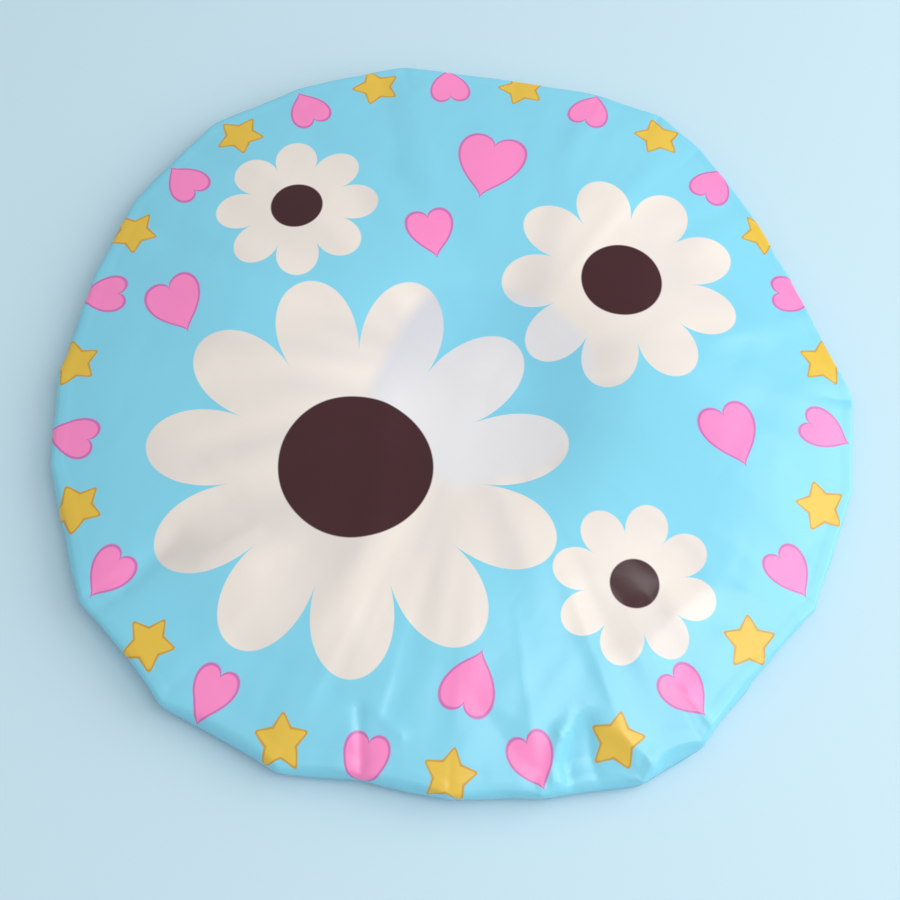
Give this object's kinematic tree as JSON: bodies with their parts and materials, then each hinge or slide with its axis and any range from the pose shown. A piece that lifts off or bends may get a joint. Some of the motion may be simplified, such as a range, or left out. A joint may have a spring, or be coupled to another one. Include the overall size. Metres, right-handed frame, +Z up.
{
  "type": "shower cap",
  "caption": "Soft film shower cap with an elastic gathered mouth, lying flat with its crown up; it keeps the hair dry.",
  "frame": {"origin": "on the table surface under the middle of the cap's outline", "axes": "+Z up out of the crown; -Y towards the near edge in the picture; the mouth opens towards -Z"},
  "size_m": [0.283, 0.2846, 0.025],
  "materials": {
    "film": "semi-gloss printed soft film",
    "binding_film": "semi-gloss soft film",
    "elastic": "flat braided elastic"
  },
  "bodies": {
    "root": {"film_disc": "film", "hem_binding": "binding_film", "elastic_loop": "elastic"}
  },
  "joints": []
}
